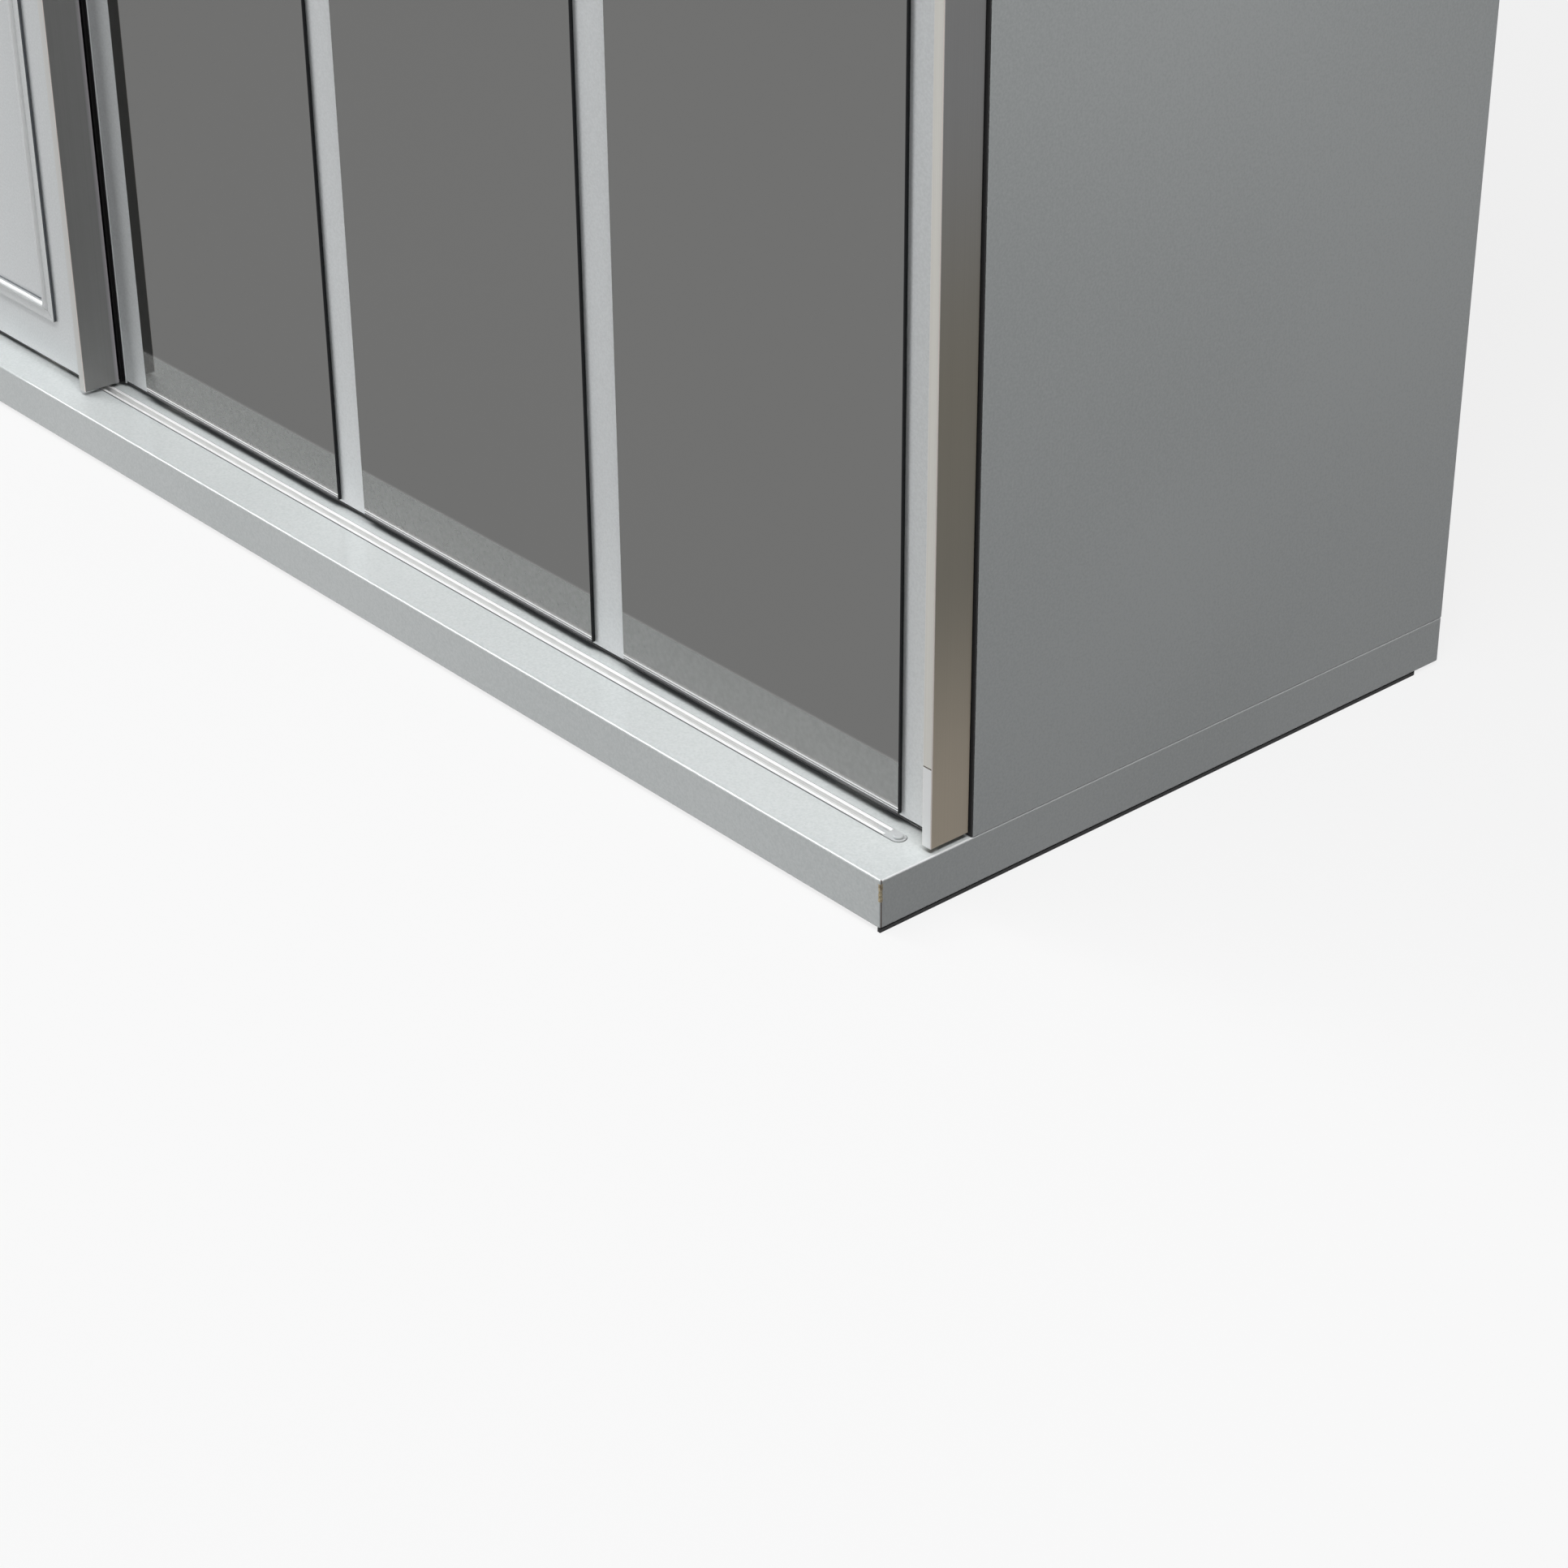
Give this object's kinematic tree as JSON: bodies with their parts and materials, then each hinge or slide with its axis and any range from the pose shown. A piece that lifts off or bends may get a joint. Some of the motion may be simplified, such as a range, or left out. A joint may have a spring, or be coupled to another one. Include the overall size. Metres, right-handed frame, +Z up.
{
  "type": "sliding door wardrobe",
  "caption": "Wide wardrobe with a beaded plain door sliding in front of a mirrored door, hung on wheels in a top track and guided by slotted rails in the base ledge",
  "frame": {"origin": "on the floor under the middle of the wardrobe", "axes": "+X along the width, to the right seen from the front; +Y from the doors to the back; +Z up"},
  "size_m": [2.5, 0.675, 2.17],
  "materials": {
    "silver_laminate": "silver-grey semi-gloss laminate on particle board",
    "grey_door_board": "light grey gloss laminate on particle board",
    "grey_mirror": "silvered float glass",
    "warm_aluminium": "satin anodised, slightly warm",
    "bright_aluminium": "satin anodised",
    "bead_lacquer": "silver lacquered strip, gloss",
    "white_hardboard": "white faced hardboard",
    "zinc_steel": "zinc plated pressed steel",
    "chrome": "chromed steel tube",
    "white_nylon": "moulded nylon",
    "grey_plastic": "moulded light grey plastic",
    "black_rubber": "matt black"
  },
  "bodies": {
    "carcass": {"base_panel": "silver_laminate", "foot_strip_left": "black_rubber", "foot_strip_middle": "black_rubber", "foot_strip_right": "black_rubber", "side_panel_left": "silver_laminate", "side_panel_right": "silver_laminate", "top_panel": "silver_laminate", "centre_partition": "silver_laminate", "back_panel_left": "white_hardboard", "back_panel_right": "white_hardboard", "back_joint_strip": "white_nylon", "hat_shelf_left": "silver_laminate", "hat_shelf_right": "silver_laminate", "clothes_rail_left": "chrome", "clothes_rail_right": "chrome", "rail_bracket_left_bay_left": "zinc_steel", "rail_bracket_left_bay_right": "zinc_steel", "rail_bracket_right_bay_left": "zinc_steel", "rail_bracket_right_bay_right": "zinc_steel", "top_track": "bright_aluminium", "track_fascia": "silver_laminate", "track_stop_front_left": "black_rubber", "track_stop_front_right": "black_rubber", "track_stop_rear_left": "black_rubber", "track_stop_rear_right": "black_rubber", "guide_rail_front": "bright_aluminium", "guide_rail_rear": "bright_aluminium", "rail_plug_front_left": "grey_plastic", "rail_plug_front_right": "grey_plastic", "rail_plug_rear_left": "grey_plastic", "rail_plug_rear_right": "grey_plastic"},
    "front_door": {"front_door_panel": "grey_door_board", "front_handle_left": "warm_aluminium", "front_handle_right": "warm_aluminium", "bead_bottom": "bead_lacquer", "bead_right": "bead_lacquer", "bead_top": "bead_lacquer", "bead_left": "bead_lacquer", "front_hanger_left": "zinc_steel", "front_hanger_right": "zinc_steel", "front_guide_left": "white_nylon", "front_guide_right": "white_nylon"},
    "rear_door": {"rear_door_panel": "grey_door_board", "rear_handle": "warm_aluminium", "rear_edge_strip": "warm_aluminium", "mirror_1": "grey_mirror", "mirror_2": "grey_mirror", "mirror_3": "grey_mirror", "rear_hanger_left": "zinc_steel", "rear_hanger_right": "zinc_steel", "rear_guide_left": "white_nylon", "rear_guide_right": "white_nylon"},
    "front_left_wheel": {"front_wheel_left": "white_nylon"},
    "front_right_wheel": {"front_wheel_right": "white_nylon"},
    "rear_left_wheel": {"rear_wheel_left": "white_nylon"},
    "rear_right_wheel": {"rear_wheel_right": "white_nylon"}
  },
  "joints": [
    {"name": "front_door_slide", "type": "slide", "parent": "carcass", "child": "front_door", "axis": [1, 0, 0], "range_m": [0, 1.225]},
    {"name": "rear_door_slide", "type": "slide", "parent": "carcass", "child": "rear_door", "axis": [1, 0, 0], "range_m": [-1.225, 0]},
    {"name": "front_left_wheel_turn", "type": "hinge", "parent": "front_door", "child": "front_left_wheel", "pos_m": [-1.097, -0.293, 2.0911], "axis": [0, 1, 0], "continuous": true},
    {"name": "front_right_wheel_turn", "type": "hinge", "parent": "front_door", "child": "front_right_wheel", "pos_m": [-0.145, -0.293, 2.0911], "axis": [0, 1, 0], "continuous": true},
    {"name": "rear_left_wheel_turn", "type": "hinge", "parent": "rear_door", "child": "rear_left_wheel", "pos_m": [0.145, -0.2635, 2.0911], "axis": [0, 1, 0], "continuous": true},
    {"name": "rear_right_wheel_turn", "type": "hinge", "parent": "rear_door", "child": "rear_right_wheel", "pos_m": [1.097, -0.2635, 2.0911], "axis": [0, 1, 0], "continuous": true}
  ],
  "couplings": [
    {"joint": "front_left_wheel_turn", "follows": "front_door_slide", "rad_per_m": 70.922},
    {"joint": "front_right_wheel_turn", "follows": "front_door_slide", "rad_per_m": 70.922},
    {"joint": "rear_left_wheel_turn", "follows": "rear_door_slide", "rad_per_m": 70.922},
    {"joint": "rear_right_wheel_turn", "follows": "rear_door_slide", "rad_per_m": 70.922}
  ]
}
